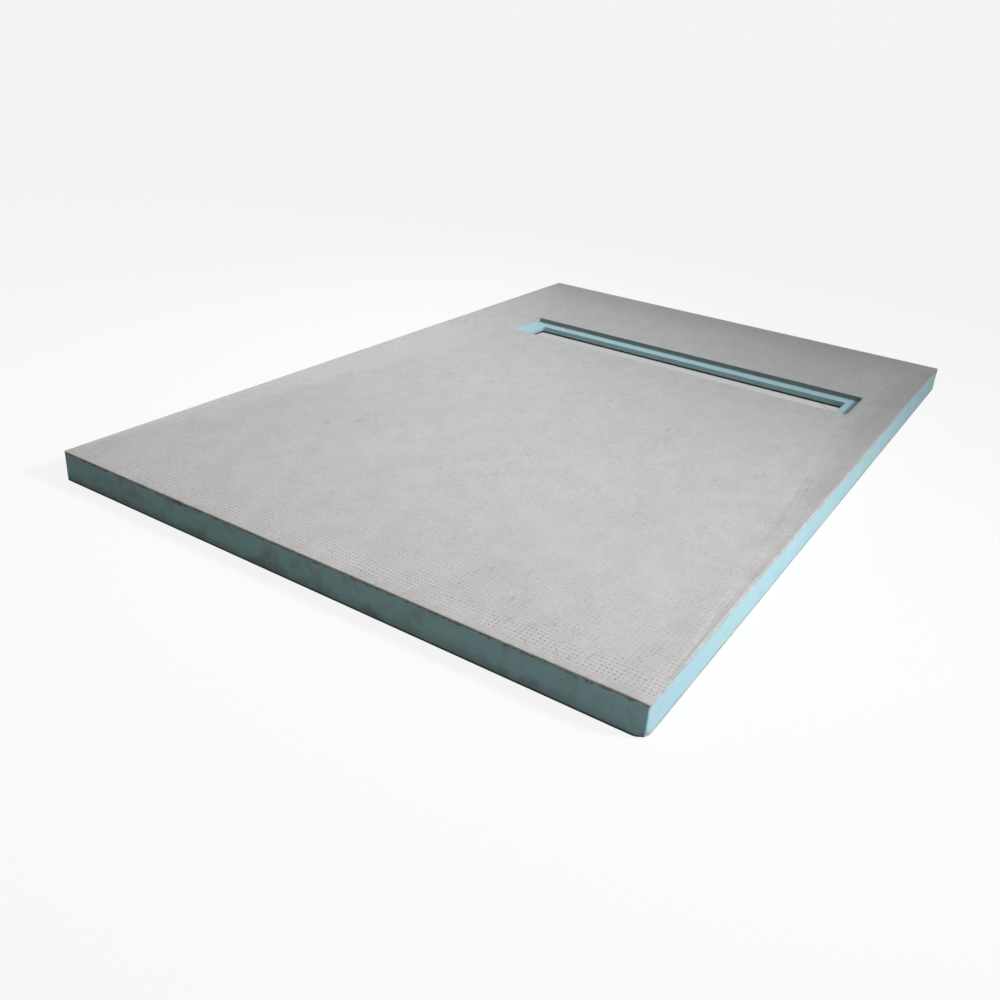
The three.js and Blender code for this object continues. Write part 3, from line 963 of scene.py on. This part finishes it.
unseen = blend_colour(t, under_slot, PAPER_TO_LIGHT, PAPER_IN_SLOT)
t.links.new(blend_colour(t, direct, unseen, PAPER_TO_CAMERA), shader.inputs["Base Color"])
shader.inputs["Roughness"].default_value = 0.9
shader.inputs["Specular IOR Level"].default_value = 0.0
# Under the slot the floor's glow to the camera is halved as a painted shadow.
glow = blend_colour(t, under_slot, PAPER_GLOW, SLOT_SHADOWED_GLOW)
t.links.new(blend_colour(t, direct, NO_GLOW, glow), shader.inputs["Emission Color"])
shader.inputs["Emission Strength"].default_value = 1.0
floor_mesh.materials.append(paper)

# %% [markdown]
# The air gives a faint even light from all around. Each soft box is a row of numbers: its place,
# the point on the pan that it faces, as x and y, and its strength in watts.

# %% Lights
AIR_LIGHT = (0.25, 0.25, 0.225, 1)
AIR_SEEN = (0.90, 0.90, 0.90, 1)
world = bpy.data.worlds.new("studio_air")
world.use_nodes = True
t = world.node_tree
air = t.nodes["Background"]
air_path = add(t, "ShaderNodeLightPath").outputs["Is Camera Ray"]
t.links.new(blend_colour(t, air_path, AIR_LIGHT, AIR_SEEN), air.inputs["Color"])
air.inputs["Strength"].default_value = 1.0
bpy.context.scene.world = world

BOX_SPREAD = 32
BOX_SIZE = (0.45, 0.9)
BOX_ROW = [
    (3, 0.4, 2.1, 0.08, -0.6, 5.2),
    (3, 0.8, 2.1, -0.4, 0.0, 2.5),
    (3, 0.95, 2.1, -0.25, 0.48, 1.2),
    (-0.8, 1.0, 2.4, -0.4, 0.2, 1.0),
    (1.7, -2.2, 1.0, 0.5, -0.62, 0.25),
]


def soft_box(name, place, aim, size, watts, angle):
    """An area light at a place that faces the aim point, with a beam of the given angle."""
    data = bpy.data.lights.new(name, "AREA")
    data.shape = "RECTANGLE"
    data.size, data.size_y = size
    data.energy = watts
    data.spread = np.radians(angle)
    light = bpy.data.objects.new(name, data)
    bpy.context.scene.collection.objects.link(light)
    back = np.array(place, float) - np.array(aim, float)
    back /= np.linalg.norm(back)
    side = np.cross((0, 0, 1), back)
    side /= np.linalg.norm(side)
    pose = np.eye(4)
    pose[:3, :3] = np.column_stack([side, np.cross(back, side), back])
    pose[:3, 3] = place
    light.matrix_world = Matrix(pose.tolist())
    return light


for number, (*place, aim_x, aim_y, watts) in enumerate(BOX_ROW):
    soft_box(f"side_box_{number}", place, (aim_x, aim_y, 0), BOX_SIZE, watts, BOX_SPREAD)

# %% [markdown]
# The colours of the photograph are plain display colours, so the view is set to the standard
# transform, which shows the cement's grey as it was measured.

# %% View
bpy.context.scene.view_settings.view_transform = "Standard"
bpy.context.scene.view_settings.look = "None"
bpy.context.view_layer.update()
